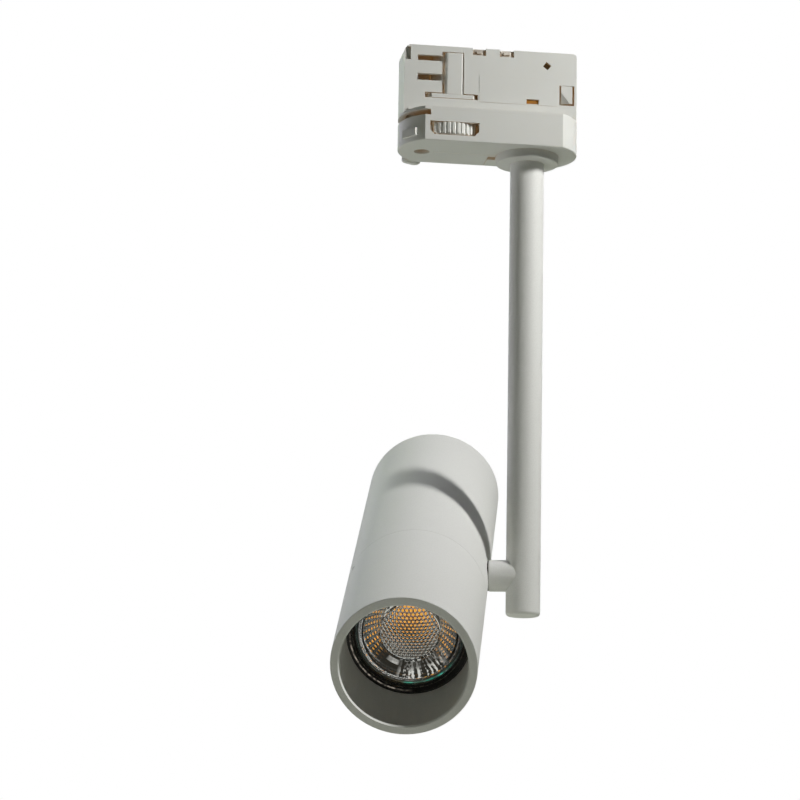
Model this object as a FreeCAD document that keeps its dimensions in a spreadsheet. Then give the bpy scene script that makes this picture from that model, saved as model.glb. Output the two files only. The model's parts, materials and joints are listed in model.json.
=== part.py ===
import FreeCAD, Part
import math
import os
import Sketcher

# Track spotlight: a three-circuit track adapter, a drop stem that pans in it, and a
# cylindrical lamp head that tilts on a side stub. Millimetres, +Z up. The origin is on the
# stem's axis, in the plane where the adapter's collar seats against the track. +X runs along
# the track. The head stands 12.5 degrees off the track line and looks 30 degrees down.

DIMENSIONS = [
    ("base_width", 36.0, "adapter across the track"),
    ("base_height", 15.4, "seat plane to the adapter's underside"),
    ("end_radius", 22.0, "rounded ends, centred on the stem and on the lever's pivot"),
    ("axis_gap", 36.2, "stem axis to lever axis"),
    ("collar_thick", 1.3, "collar plate on top of the lower housing"),
    ("base_wall", 2.0, "side walls and floor of the lower housing"),
    ("nose_wall", 3.4, "end wall round the lever"),
    ("slot_drop", 3.9, "seat plane to the bottom of the lever's slot"),
    ("slot_end", 46.3, "stem axis to where the lever's slot stops"),
    ("window_width", 21.8, "selector window"),
    ("window_top", 6.6, "seat plane to the selector window"),
    ("window_low", 12.7, "seat plane to the bottom of the selector window"),
    ("window_corner", 2.0, "corner cut of the selector window"),
    ("window_shift", 0.5, "lever axis to the selector window's centre"),
    ("rib_angle", 214.0, "direction of the grip's click rib about the lever axis"),
    ("rib_face", 23.2, "lever axis to the face of the click rib"),
    ("rib_width", 8.4, "click rib"),
    ("insert_left", 57.2, "stem axis to the insert's far end"),
    ("insert_right", 20.6, "stem axis to the insert's near end"),
    ("insert_thick", 17.0, "insert across the track"),
    ("insert_height", 31.0, "insert above the seat plane"),
    ("insert_wall", 1.8, "insert wall"),
    ("entry_corner", 3.4, "insert's top corner radius at the selector end"),
    ("tail_corner", 1.7, "insert's top corner radius at the snap end"),
    ("dial_radius", 18.3, "circuit selector dial"),
    ("dial_top", 6.8, "seat plane to the dial's top"),
    ("dial_thick", 5.8, "dial thickness"),
    ("dial_ribs", 54, "ribs round the dial"),
    ("spindle_radius", 2.0, "spindle of the dial"),
    ("lever_angle", 122.0, "lever direction at rest, from +X"),
    ("lever_thick", 2.0, "lever plate"),
    ("lever_top", 1.6, "seat plane to the lever plate"),
    ("grip_inner", 23.6, "lever axis to the grip's inner face"),
    ("grip_outer", 27.3, "lever axis to the grip's outer face"),
    ("grip_width", 9.0, "width of the lever's grip"),
    ("grip_low", 15.2, "seat plane to the grip's lower end"),
    ("drum_radius", 9.9, "contact drum"),
    ("drum_flat", 8.3, "lever axis to the drum's two flats"),
    ("drum_relief", 7.6, "drum radius on the side of the blades"),
    ("drum_low", 9.1, "drum bottom above the seat plane"),
    ("drum_top", 28.2, "drum top above the seat plane"),
    ("cam_length", 22.8, "locking cam"),
    ("cam_width", 16.4, "locking cam"),
    ("cam_low", 7.2, "locking cam above the seat plane"),
    ("cam_thick", 1.9, "locking cam"),
    ("blade_reach", 15.2, "lever axis to a contact blade's tip"),
    ("blade_width", 5.0, "contact blade"),
    ("blade_thick", 1.1, "contact blade"),
    ("live_height", 16.3, "live blade above the seat plane"),
    ("neutral_height", 25.2, "neutral blade above the seat plane"),
    ("flange_radius", 13.9, "swivel flange under the adapter"),
    ("flange_thick", 3.8, "swivel flange"),
    ("stem_radius", 7.5, "drop stem"),
    ("stem_wall", 1.0, "drop stem tube wall"),
    ("stem_drop", 202.6, "swivel flange to the stem's lower end"),
    ("stem_entry", 2.0, "stem length inside the swivel flange"),
    ("cap_thick", 1.7, "visible rim of the stem's end cap"),
    ("nipple_radius", 5.0, "threaded nipple that carries the stem"),
    ("nipple_bore", 3.4, "cable way through the nipple"),
    ("running_gap", 0.05, "radial gap of a turning fit"),
    ("stub_drop", 204.2, "seat plane to the tilt axis"),
    ("stub_radius", 6.85, "side stub"),
    ("head_offset", 44.9, "stem axis to the head's axis"),
    ("bolt_radius", 4.0, "hollow tilt bolt"),
    ("bolt_bore", 2.6, "cable way through the tilt bolt"),
    ("spotface", 29.4, "head axis to the flat the stub bears on"),
    ("boss_face", 25.0, "head axis to the inner face of the tilt boss"),
    ("head_radius", 30.0, "head outside"),
    ("head_wall", 2.5, "rear body wall"),
    ("head_front", 101.5, "tilt axis to the front rim"),
    ("head_back", 103.5, "tilt axis to the rear end"),
    ("seam", 23.6, "tilt axis to the joint of rear body and front tube"),
    ("seam_bevel", 0.15, "bevel on both edges of that joint"),
    ("spigot_length", 11.4, "spigot of the rear body inside the front tube"),
    ("spigot_radius", 28.0, "spigot outside"),
    ("bore_radius", 26.25, "front tube bore"),
    ("baffle_depth", 33.0, "front rim to the lamp's retaining ring"),
    ("ring_radius", 26.75, "lamp retaining ring"),
    ("ring_opening", 22.6, "opening of the retaining ring"),
    ("ring_recess", 0.25, "face of the retaining ring behind the bore's end"),
    ("ring_thick", 3.2, "lamp retaining ring"),
    ("screw_angle", 151.0, "set screw's direction round the head from the stem"),
    ("screw_rise", 6.0, "seam to the set screw"),
    ("lamp_radius", 25.0, "reflector lamp, 50 mm size"),
    ("lens_radius", 22.4, "lamp front optic"),
    ("dome_radius", 11.2, "central lens of the optic"),
    ("pin_pitch", 10.0, "distance between the lamp pins"),
    ("holder_radius", 13.5, "lamp holder"),
    ("holder_low", 10.5, "lamp holder's rear end behind the tilt axis"),
    ("holder_split", 14.4, "joint of the holder's body and face"),
    ("holder_top", 16.9, "front of the lamp holder"),
    ("plate_thick", 1.5, "holder bracket sheet"),
    ("twist", 20.0, "turn that frees the lamp pins"),
    ("cable_radius", 2.4, "supply cable"),
    ("lead_radius", 1.5, "leads in the head"),
    ("pan_angle", 12.5, "stub direction off the track line"),
    ("tilt_angle", 30.0, "head below the horizontal"),
]

doc = FreeCAD.newDocument("track_spotlight")
sheet = doc.addObject("Spreadsheet::Sheet", "dims")
exported = []


class Size:
    """A number together with the spreadsheet expression that gives it."""

    def __init__(self, value, text):
        self.value = float(value)
        self.text = text

    def __add__(self, other):
        other = size(other)
        return Size(self.value + other.value, "(%s + %s)" % (self.text, other.text))

    def __sub__(self, other):
        other = size(other)
        return Size(self.value - other.value, "(%s - %s)" % (self.text, other.text))

    def __mul__(self, other):
        other = size(other)
        return Size(self.value * other.value, "(%s * %s)" % (self.text, other.text))

    def __truediv__(self, other):
        other = size(other)
        return Size(self.value / other.value, "(%s / %s)" % (self.text, other.text))

    def __neg__(self):
        return size(0) - self

    def __radd__(self, other):
        return size(other) + self

    def __rsub__(self, other):
        return size(other) - self

    def __rmul__(self, other):
        return size(other) * self


def size(number):
    """Plain numbers become a Size, so both kinds mix in one formula."""
    if isinstance(number, Size):
        return number
    return Size(number, repr(float(number)))


def fill_sheet():
    for row, (name, value, meaning) in enumerate(DIMENSIONS, start=1):
        sheet.set("A%d" % row, name)
        sheet.set("B%d" % row, str(value))
        sheet.set("C%d" % row, meaning)
        sheet.setAlias("B%d" % row, name)
    doc.recompute()


class Table:
    """The driving dimensions by name: d.stem_radius and so on."""


d = Table()
for dimension, number, meaning in DIMENSIONS:
    setattr(d, dimension, Size(number, "dims." + dimension))


# ---------------------------------------------------------------- placements

def vec(x, y, z):
    return FreeCAD.Vector(float(x), float(y), float(z))


def at(x=0.0, y=0.0, z=0.0, turn=0.0):
    """Placement in the object's frame, turned about +Z by so many degrees."""
    return FreeCAD.Placement(vec(x, y, z), FreeCAD.Rotation(vec(0, 0, 1), turn))


def stub_direction():
    angle = math.radians(180.0 - d.pan_angle.value)
    return vec(math.cos(angle), math.sin(angle), 0)


def head_axis():
    """Unit vector along the head, out of its front opening."""
    pan = math.radians(d.pan_angle.value)
    tilt = math.radians(d.tilt_angle.value)
    level = vec(-math.sin(pan), -math.cos(pan), 0)
    return level * math.cos(tilt) + vec(0, 0, -math.sin(tilt))


def stub_place():
    """Stub frame: origin on the stem's axis, z out along the stub, x up."""
    z = stub_direction()
    x = vec(0, 0, 1)
    turn = FreeCAD.Rotation(x, z.cross(x), z, "ZXY")
    return FreeCAD.Placement(vec(0, 0, -d.stub_drop.value), turn)


def head_place():
    """Head frame: origin on the tilt axis, z out of the front, x towards the stem."""
    z = head_axis()
    x = stub_direction() * -1.0
    turn = FreeCAD.Rotation(x, z.cross(x), z, "ZXY")
    base = stub_direction() * d.head_offset.value + vec(0, 0, -d.stub_drop.value)
    return FreeCAD.Placement(base, turn)


def lever_place(turn=0.0):
    return at(-d.axis_gap.value, 0, 0, turn)


# ---------------------------------------------------------------- features

def new_body(name, place=None, keep=True):
    body = doc.addObject("PartDesign::Body", name)
    body.Label = name
    if place is not None:
        body.Placement = place
    if keep:
        exported.append(body)
    return body


def bind(thing, prop, number):
    """Give a property its value and tie it to the spreadsheet."""
    number = size(number)
    setattr(thing, prop, number.value)
    thing.setExpression(prop, number.text)


def bind_base(thing, x, y, z):
    for axis, number in zip("xyz", (x, y, z)):
        thing.setExpression("Placement.Base." + axis, size(number).text)


def origin_plane(body, role):
    for feature in body.Origin.OriginFeatures:
        if feature.Role == role:
            return feature
    raise RuntimeError("no plane " + role)


def new_sketch(body, name, role="XY_Plane", offset=0.0):
    """A sketch on one of the body's own planes, moved along the plane's normal."""
    sketch = body.newObject("Sketcher::SketchObject", name)
    sketch.AttachmentSupport = [(origin_plane(body, role), "")]
    sketch.MapMode = "FlatFace"
    sketch.setExpression("AttachmentOffset.Base.z", size(offset).text)
    return sketch


def pin_point(sketch, geometry, point, x, y):
    """Fix one point of the sketch at two spreadsheet lengths from the origin."""
    for kind, number, axis in (("DistanceX", size(x), -2), ("DistanceY", size(y), -1)):
        if abs(number.value) < 1e-9:
            sketch.addConstraint(Sketcher.Constraint("PointOnObject", geometry, point, axis))
            continue
        index = sketch.addConstraint(
            Sketcher.Constraint(kind, -1, 1, geometry, point, number.value))
        sketch.setExpression("Constraints[%d]" % index, number.text)


def polygon(sketch, corners):
    """Closed outline through the given corners, each pinned by two lengths."""
    points = [vec(size(x).value, size(y).value, 0) for x, y in corners]
    count = len(points)
    first = sketch.GeometryCount
    for i in range(count):
        sketch.addGeometry(Part.LineSegment(points[i], points[(i + 1) % count]))
    for i in range(count):
        after = first + (i + 1) % count
        sketch.addConstraint(Sketcher.Constraint("Coincident", first + i, 2, after, 1))
    for i, (x, y) in enumerate(corners):
        pin_point(sketch, first + i, 1, x, y)


def circle(sketch, radius, x=0.0, y=0.0):
    radius, x, y = size(radius), size(x), size(y)
    centre = vec(x.value, y.value, 0)
    index = sketch.addGeometry(Part.Circle(centre, vec(0, 0, 1), radius.value))
    pin_point(sketch, index, 3, x, y)
    rule = sketch.addConstraint(Sketcher.Constraint("Radius", index, radius.value))
    sketch.setExpression("Constraints[%d]" % rule, radius.text)


def pad(body, sketch, length):
    feature = body.newObject("PartDesign::Pad", sketch.Name + "_pad")
    feature.Profile = sketch
    bind(feature, "Length", length)
    return feature


def pocket(body, sketch, length):
    feature = body.newObject("PartDesign::Pocket", sketch.Name + "_pocket")
    feature.Profile = sketch
    bind(feature, "Length", length)
    return feature


def revolve(body, name, corners):
    """Turn an outline of (radius, height) corners round the body's z axis."""
    sketch = new_sketch(body, name, "XZ_Plane")
    polygon(sketch, corners)
    feature = body.newObject("PartDesign::Revolution", name + "_turned")
    feature.Profile = sketch
    feature.ReferenceAxis = (sketch, ["V_Axis"])
    feature.Angle = 360.0
    return feature


def ring(body, name, inner, outer, low, high):
    return revolve(body, name, [(inner, low), (outer, low), (outer, high), (inner, high)])


def box(body, kind, name, x, y, z, turn=None):
    """Box between the pairs x, y and z. kind is Additive or Subtractive."""
    feature = body.newObject("PartDesign::%sBox" % kind, name)
    pairs = [(size(low), size(high)) for low, high in (x, y, z)]
    for prop, (low, high) in zip(("Length", "Width", "Height"), pairs):
        bind(feature, prop, high - low)
    if turn is not None:
        feature.Placement = turn
    bind_base(feature, pairs[0][0], pairs[1][0], pairs[2][0])
    return feature


def add_box(body, name, x, y, z, turn=None):
    return box(body, "Additive", name, x, y, z, turn)


def cut_box(body, name, x, y, z, turn=None):
    return box(body, "Subtractive", name, x, y, z, turn)


UP = FreeCAD.Rotation()
ALONG_X = FreeCAD.Rotation(vec(0, 1, 0), 90)
ALONG_Y = FreeCAD.Rotation(vec(1, 0, 0), -90)


def cylinder(body, kind, name, radius, start, length, turn=UP):
    feature = body.newObject("PartDesign::%sCylinder" % kind, name)
    bind(feature, "Radius", radius)
    bind(feature, "Height", length)
    feature.Placement = FreeCAD.Placement(vec(0, 0, 0), turn)
    bind_base(feature, *start)
    return feature


def add_cylinder(body, name, radius, start, length, turn=UP):
    return cylinder(body, "Additive", name, radius, start, length, turn)


def cut_cylinder(body, name, radius, start, length, turn=UP):
    return cylinder(body, "Subtractive", name, radius, start, length, turn)


def polar(body, feature, count):
    """Repeat a feature round the body's z axis."""
    pattern = body.newObject("PartDesign::PolarPattern", feature.Name + "_round")
    pattern.Originals = [feature]
    pattern.Axis = (origin_axis(body, "Z_Axis"), [""])
    pattern.Angle = 360.0
    pattern.Occurrences = count
    body.Tip = pattern
    return pattern


def origin_axis(body, role):
    for feature in body.Origin.OriginFeatures:
        if feature.Role == role:
            return feature
    raise RuntimeError("no axis " + role)


def edges_where(body, test):
    """Names of the body's edges whose end points all pass the test."""
    doc.recompute()
    names = []
    for i, edge in enumerate(body.Tip.Shape.Edges, start=1):
        ends = [vertex.Point for vertex in edge.Vertexes]
        if ends and all(test(point) for point in ends):
            names.append("Edge%d" % i)
    return names


def soften(body, kind, test, amount):
    """Fillet or Chamfer on the edges whose ends pass the test."""
    names = edges_where(body, test)
    base = body.Tip
    feature = body.newObject("PartDesign::" + kind, "%s_%s" % (body.Name, kind.lower()))
    feature.Base = (base, names)
    bind(feature, "Radius" if kind == "Fillet" else "Size", amount)
    return feature


def on_circle(radius, height):
    """Test for points at a radius from the z axis and a height."""
    def test(point):
        off_axis = math.hypot(point.x, point.y)
        return abs(off_axis - size(radius).value) < 1e-4 and abs(point.z - size(height).value) < 1e-4
    return test


def group(name, members):
    """Several separate solids under one name."""
    compound = doc.addObject("Part::Compound", name)
    compound.Label = name
    compound.Links = members
    exported.append(compound)
    return compound


def hexagon(sketch, across):
    """Six-sided outline with flats this far apart."""
    reach = across / math.sqrt(3.0)
    points = [vec(reach * math.cos(math.radians(60 * i)), reach * math.sin(math.radians(60 * i)), 0)
              for i in range(6)]
    first = sketch.GeometryCount
    for i in range(6):
        sketch.addGeometry(Part.LineSegment(points[i], points[(i + 1) % 6]))
    for i in range(6):
        sketch.addConstraint(Sketcher.Constraint("Coincident", first + i, 2, first + (i + 1) % 6, 1))
    for i in range(6):
        sketch.addConstraint(Sketcher.Constraint("Block", first + i))


# ---------------------------------------------------------------- adapter

def plan_outline(sketch, right_radius, left_radius, half_width):
    """Plan of the adapter: straight sides, ends rounded about the stem and lever axes."""
    right_radius, left_radius, half_width = size(right_radius), size(left_radius), size(half_width)
    gap = d.axis_gap
    right_angle = math.asin(half_width.value / right_radius.value)
    left_angle = math.asin(half_width.value / left_radius.value)
    right_x = right_radius.value * math.cos(right_angle)
    left_x = -gap.value - left_radius.value * math.cos(left_angle)
    half = half_width.value
    up = vec(0, 0, 1)
    right = Part.ArcOfCircle(Part.Circle(vec(0, 0, 0), up, right_radius.value), -right_angle, right_angle)
    left = Part.ArcOfCircle(Part.Circle(vec(-gap.value, 0, 0), up, left_radius.value),
                            math.pi - left_angle, math.pi + left_angle)
    sketch.addGeometry(right)
    sketch.addGeometry(Part.LineSegment(vec(right_x, half, 0), vec(left_x, half, 0)))
    sketch.addGeometry(left)
    sketch.addGeometry(Part.LineSegment(vec(left_x, -half, 0), vec(right_x, -half, 0)))
    for first, second in ((0, 1), (1, 2), (2, 3), (3, 0)):
        sketch.addConstraint(Sketcher.Constraint("Coincident", first, 2, second, 1))
    pin_point(sketch, 0, 3, 0.0, 0.0)
    pin_point(sketch, 2, 3, -gap, 0.0)
    for index, radius in ((0, right_radius), (2, left_radius)):
        rule = sketch.addConstraint(Sketcher.Constraint("Radius", index, radius.value))
        sketch.setExpression("Constraints[%d]" % rule, radius.text)
    for index, number in ((1, half_width), (3, -half_width)):
        sketch.addConstraint(Sketcher.Constraint("Horizontal", index))
        rule = sketch.addConstraint(Sketcher.Constraint("DistanceY", -1, 1, index, 1, number.value))
        sketch.setExpression("Constraints[%d]" % rule, number.text)


def adapter_base():
    """Lower housing: an open tray with the selector window, lever slot and snap tongues."""
    body = new_body("adapter_base")
    floor = -(d.base_height - d.base_wall)
    outside = new_sketch(body, "base_outside", offset=-d.base_height)
    plan_outline(outside, d.end_radius, d.end_radius, d.base_width / 2)
    pad(body, outside, d.base_height - d.collar_thick)
    inside = new_sketch(body, "base_inside", offset=-d.collar_thick)
    plan_outline(inside, d.end_radius - d.base_wall, d.end_radius - d.nose_wall,
                 d.base_width / 2 - d.base_wall)
    pocket(body, inside, d.base_height - d.collar_thick - d.base_wall)
    soften(body, "Fillet", lambda p: abs(p.z + d.base_height.value) < 1e-4, 0.5)

    window = new_sketch(body, "selector_window", "XZ_Plane", 20.0)
    middle = d.window_shift - d.axis_gap
    left = middle - d.window_width / 2
    right = middle + d.window_width / 2
    cut = d.window_corner
    polygon(window, [(left, -d.window_top), (left, -d.window_low + cut), (left + cut, -d.window_low),
                     (right - cut, -d.window_low), (right, -d.window_low + cut), (right, -d.window_top)])
    pocket(body, window, 40.0)
    cut_box(body, "lever_slot", (-62.0, -d.slot_end), (-20.0, 20.0), (-d.slot_drop, 0.0))
    cut_box(body, "lever_rest", (-62.0, -43.2), (9.0, 20.0), (-d.slot_drop, 0.0))
    cut_cylinder(body, "view_hole", 3.5, (-47.4, 1.2, -d.base_height - 1), 4.0)
    cut_cylinder(body, "nipple_hole", d.nipple_radius + 0.3, (0, 0, -d.base_height - 1), 4.0)

    turn = math.radians(d.rib_angle.value)
    radial = FreeCAD.Placement(vec(0, 0, 0), FreeCAD.Rotation(vec(0, 0, 1), d.rib_angle.value))
    rib = add_box(body, "click_rib", (20.6, d.rib_face), (-d.rib_width / 2, d.rib_width / 2),
                  (-13.1, -9.7), radial)
    half = d.rib_width.value / 2
    bind_base(rib, -d.axis_gap + 20.6 * math.cos(turn) + half * math.sin(turn),
              20.6 * math.sin(turn) - half * math.cos(turn), -13.1)
    cut_box(body, "flange_notch", (-17.0, -13.2), (-0.9, 7.9), (-d.base_height - 1, -d.base_height + 1.2))

    add_cylinder(body, "dial_seat", 5.0, (-d.axis_gap, 0, floor - 0.2), 0.9)
    cut_cylinder(body, "spindle_seat", d.spindle_radius + d.running_gap,
                 (-d.axis_gap, 0, floor - 1.2), 3.0)
    add_box(body, "pan_stop", (9.2, 11.2), (-0.5, 0.5), (floor - 0.2, -11.8))
    for side, name in ((-1, "front"), (1, "rear")):
        inner, outer = sorted((4.9 * side, 6.5 * side))
        add_box(body, "tongue_" + name, (13.65, 18.7), (inner, outer), (floor - 0.2, 15.97))
        inner, outer = sorted((6.4 * side, 8.3 * side))
        add_box(body, "catch_" + name, (13.65, 18.7), (inner, outer), (7.8, 15.97))
    ramp = vec(-8.5, -19.75, -6.72)
    tilted = FreeCAD.Rotation(vec(0, 0, 1), ramp)
    corner = vec(14.97, -7.73, 9.47) - tilted.multVec(vec(3.5, 3.5, 0))
    cut_box(body, "catch_ramp", (corner.x, corner.x + 7.0), (corner.y, corner.y + 7.0),
            (corner.z, corner.z + 2.0), FreeCAD.Placement(vec(0, 0, 0), tilted))
    cut_box(body, "parting_line", (-43.0, -17.0), (0.9, 1.15), (-d.base_height - 1, -d.base_height + 0.2))
    cut_box(body, "parting_step", (-17.1, -16.8), (1.0, 17.0), (-d.base_height - 1, -d.base_height + 0.3))
    return body


def track_insert():
    """Upper housing: collar plate that seats on the track and the box that enters it."""
    body = new_body("track_insert")
    collar = new_sketch(body, "collar", offset=-d.collar_thick)
    plan_outline(collar, d.end_radius, d.end_radius, d.base_width / 2)
    pad(body, collar, d.collar_thick)
    half = d.insert_thick / 2
    add_box(body, "insert_block", (-d.insert_left, d.insert_right), (-half, half),
            (-d.collar_thick / 2, d.insert_height))
    top = d.insert_height.value
    for end, radius in ((-d.insert_left.value, d.entry_corner), (d.insert_right.value, d.tail_corner)):
        soften(body, "Fillet",
               lambda p, end=end: abs(p.z - top) < 1e-4 and abs(p.x - end) < 1e-4, radius)
    add_box(body, "foot", (-d.insert_left + 2, d.insert_right - 2), (-half - 0.6, half + 0.6), (-0.2, 1.4))
    add_box(body, "label_panel", (-23.4, 11.7), (-half - 0.12, -half + 0.2), (6.2, 18.4))
    inner = half - d.insert_wall
    cut_box(body, "cavity", (-d.insert_left + d.insert_wall, d.insert_right - d.insert_wall),
            (-inner, inner), (-d.collar_thick - 1, d.insert_height - d.insert_wall))
    centre = -d.axis_gap
    low = d.cam_low - 0.3
    cut_cylinder(body, "drum_room", d.drum_radius + 0.15, (centre, 0, low), d.drum_top + 0.2 - low)
    add_box(body, "window_jamb", (centre - 8.0, centre - 4.0), (-half, -inner), (9.2, d.drum_top + 0.4))
    cut_box(body, "drum_window", (centre, centre + 5.75), (-9.5, -5.0), (low, d.drum_top + 0.2))
    cut_box(body, "cam_window", (centre - 11.6, centre + 12.2), (-9.5, 9.5), (low, 9.4))
    cut_box(body, "live_window", (-51.2, centre), (-9.5, -5.0), (14.8, 17.9))
    cut_box(body, "neutral_window", (-51.2, centre), (-9.5, -5.0), (23.9, 26.5))
    cut_cylinder(body, "drum_journal", 3.05, (centre, 0, top - 3.0), 2.3)
    for name, low, high in (("earth_notch_a", -26.5, -20.6), ("earth_notch_b", -14.3, -7.9)):
        cut_box(body, name, (low, high), (-9.0, -6.9), (27.7, top + 1))
    cut_box(body, "corner_notch", (-58.0, -54.4), (-9.0, -7.2), (24.0, 30.0))
    keyway = FreeCAD.Placement(vec(0, 0, 0), FreeCAD.Rotation(vec(0, 1, 0), 38.0))
    cut_box(body, "square_hole", (5.2, 7.95), (-9.5, -5.5), (24.5, 27.25), keyway)
    cut_box(body, "strip_window", (-2.1, 3.5), (-9.5, -5.5), (6.6, 8.8))
    for side, name in ((-1, "front"), (1, "rear")):
        low, high = sorted((5.5 * side, 9.5 * side))
        cut_box(body, "catch_window_" + name, (12.8, 19.55), (low, high), (6.85, 16.0))
    return body


def lock_lever():
    """Lever plate keyed on the cam shaft, with a grip outside the housing's round end."""
    body = new_body("lock_lever", lever_place(d.lever_angle.value))
    low = -(d.lever_top + d.lever_thick)
    hub = new_sketch(body, "lever_hub", offset=low)
    circle(hub, 7.0)
    pad(body, hub, d.lever_thick)
    add_box(body, "lever_arm", (3.0, d.grip_inner + 1), (-2.1, 2.1), (low, -d.lever_top))
    half = d.grip_width / 2
    add_box(body, "lever_grip", (d.grip_inner, d.grip_outer), (-half, half), (-d.grip_low, -d.lever_top))
    reach = d.grip_outer.value
    for side in (-1, 1):
        soften(body, "Fillet",
               lambda p, y=side * half.value: abs(p.x - reach) < 1e-4 and abs(p.y - y) < 1e-4, 2.4)
    soften(body, "Chamfer", lambda p: abs(p.z + d.grip_low.value) < 1e-4, 0.6)
    square_key(body, low - 1, -d.lever_angle.value)
    return body


def square_key(body, low, turn):
    """Square hole in the lever, in line with the adapter's sides."""
    sketch = new_sketch(body, "lever_key", offset=0.0)
    reach = 3.0 * math.sqrt(2.0)
    points = [vec(reach * math.cos(math.radians(turn + 45 + 90 * i)),
                  reach * math.sin(math.radians(turn + 45 + 90 * i)), 0) for i in range(4)]
    for i in range(4):
        sketch.addGeometry(Part.LineSegment(points[i], points[(i + 1) % 4]))
    for i in range(4):
        sketch.addConstraint(Sketcher.Constraint("Block", i))
    pocket(body, sketch, -low)


def cam_shaft():
    """Vertical shaft turned by the lever: locking cam below, contact drum above."""
    body = new_body("cam_shaft", lever_place())
    low = -(d.lever_top + d.lever_thick)
    bore = d.spindle_radius + 0.1
    revolve(body, "shaft", [
        (bore, low - 0.8), (4.8, low - 0.8), (4.8, low), (2.9, low), (2.9, -d.lever_top),
        (5.0, -d.lever_top), (5.0, d.cam_low), (5.8, d.cam_low), (5.8, d.drum_low),
        (d.drum_radius, d.drum_low), (d.drum_radius, d.drum_top), (3.0, d.drum_top),
        (3.0, d.drum_top + 2.0), (bore, d.drum_top + 2.0)])
    add_box(body, "lever_square", (-3.0, 3.0), (-3.0, 3.0), (low, -d.lever_top))
    cut_box(body, "flat_front", (-12.0, 12.0), (-12.0, -d.drum_flat), (d.drum_low, d.drum_top + 1.0))
    cut_box(body, "flat_rear", (-12.0, 12.0), (d.drum_flat, 12.0), (d.drum_low, d.drum_top + 1.0))
    cut_box(body, "blade_pocket", (-12.0, -2.9), (-12.0, -6.3), (d.drum_low, d.drum_top + 1.0))
    relief = new_sketch(body, "blade_relief", "XZ_Plane")
    polygon(relief, [(-11.0, d.drum_low), (-d.drum_relief, d.drum_low), (-d.drum_relief, d.drum_top + 1.0),
                     (-11.0, d.drum_top + 1.0)])
    groove = body.newObject("PartDesign::Groove", "blade_relief_turned")
    groove.Profile = relief
    groove.ReferenceAxis = (relief, ["V_Axis"])
    groove.Angle = 130.0
    groove.Midplane = True
    body.Tip = groove
    flat = d.drum_flat.value
    soften(body, "Fillet", lambda p: abs(p.y + flat) < 1e-4 and abs(p.x + 2.9) < 1e-4, 1.8)
    soften(body, "Chamfer", lambda p: abs(p.y + flat) < 1e-4 and 5.0 < p.x < 6.0, 0.6)
    length, width = d.cam_length / 2, d.cam_width / 2
    cam = new_sketch(body, "locking_cam", offset=d.cam_low)
    polygon(cam, [(-length, -width + 2.9), (-length + 2.9, -width), (length - 1.4, -width),
                  (length, -width + 1.4), (length, width - 2.9), (length - 2.9, width),
                  (-length + 1.4, width), (-length, width - 1.4)])
    pad(body, cam, d.cam_thick)
    cut_cylinder(body, "spindle_way", bore, (0, 0, -6.0), 50.0)
    for name, height in (("live_seat", d.live_height), ("neutral_seat", d.neutral_height)):
        cut_box(body, name, (-10.0, -5.0), (-d.blade_width / 2, d.blade_width / 2),
                (height - d.blade_thick / 2, height + d.blade_thick / 2))
    return body


def contact_blade(name, height):
    """Flat blade set in the drum, tapered to a rounded tip."""
    body = new_body(name, lever_place())
    sketch = new_sketch(body, name + "_outline", offset=height - d.blade_thick / 2)
    half = d.blade_width / 2
    polygon(sketch, [(-5.0, -half), (-5.0, half), (-d.blade_reach + 3.4, half),
                     (-d.blade_reach + 0.7, half - 0.9), (-d.blade_reach, half - 1.9),
                     (-d.blade_reach, -half + 1.9), (-d.blade_reach + 0.7, -half + 0.9),
                     (-d.blade_reach + 3.4, -half)])
    pad(body, sketch, d.blade_thick)
    return body


def selector_dial():
    """Ribbed thumb dial that picks the circuit, with dots that show at the view hole."""
    body = new_body("selector_dial", lever_place())
    low = -(d.dial_top + d.dial_thick)
    revolve(body, "dial", [
        (d.spindle_radius, low), (d.dial_radius - 1.0, low), (d.dial_radius, low + 1.0),
        (d.dial_radius, -d.dial_top), (d.dial_radius - 2.2, -d.dial_top),
        (d.dial_radius - 2.2, -d.dial_top - 1.6), (6.5, -d.dial_top - 1.6),
        (6.5, -d.dial_top), (d.spindle_radius, -d.dial_top)])
    groove = cut_cylinder(body, "rib_groove", 0.62, (d.dial_radius + 0.15, 0, low - 1), d.dial_thick + 2)
    polar(body, groove, int(d.dial_ribs.value))
    for quarter in range(4):
        for dot in range(quarter):
            angle = math.radians(175.0 + 90.0 * quarter + 9.0 * (dot - (quarter - 1) / 2.0))
            cut_cylinder(body, "dot_%d_%d" % (quarter, dot), 0.55,
                         (11.2 * math.cos(angle), 11.2 * math.sin(angle), low - 1), 1.4)
    return body


def selector_spindle():
    body = new_body("selector_spindle", lever_place())
    low = -(d.base_height - d.base_wall) - 1.1
    sketch = new_sketch(body, "spindle", offset=low)
    circle(sketch, d.spindle_radius)
    pad(body, sketch, 24.0 - low)
    return body


def detent_spring():
    """Leaf that clicks in the dial's ribs."""
    body = new_body("detent_spring")
    floor = -(d.base_height - d.base_wall)
    add_box(body, "leaf", (-17.6, -17.2), (-6.5, 6.5), (floor, -7.0))
    add_box(body, "leaf_foot", (-17.2, -14.5), (-6.5, 6.5), (floor, floor + 0.4))
    return body


def earth_contacts():
    """Sprung earth tips in the two notches of the insert's top edge."""
    members = []
    for i, (low, high) in enumerate(((-25.7, -21.4), (-13.5, -8.7))):
        tip = new_body("earth_tip_%d" % i, keep=False)
        add_box(tip, "tip_strip_%d" % i, (low, high), (-7.6, -6.9), (27.7, 30.6))
        add_box(tip, "tip_bump_%d" % i, (low + 1.0, high - 1.0), (-8.3, -7.3), (28.6, 29.8))
        members.append(tip)
    group("earth_contact", members)


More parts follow.
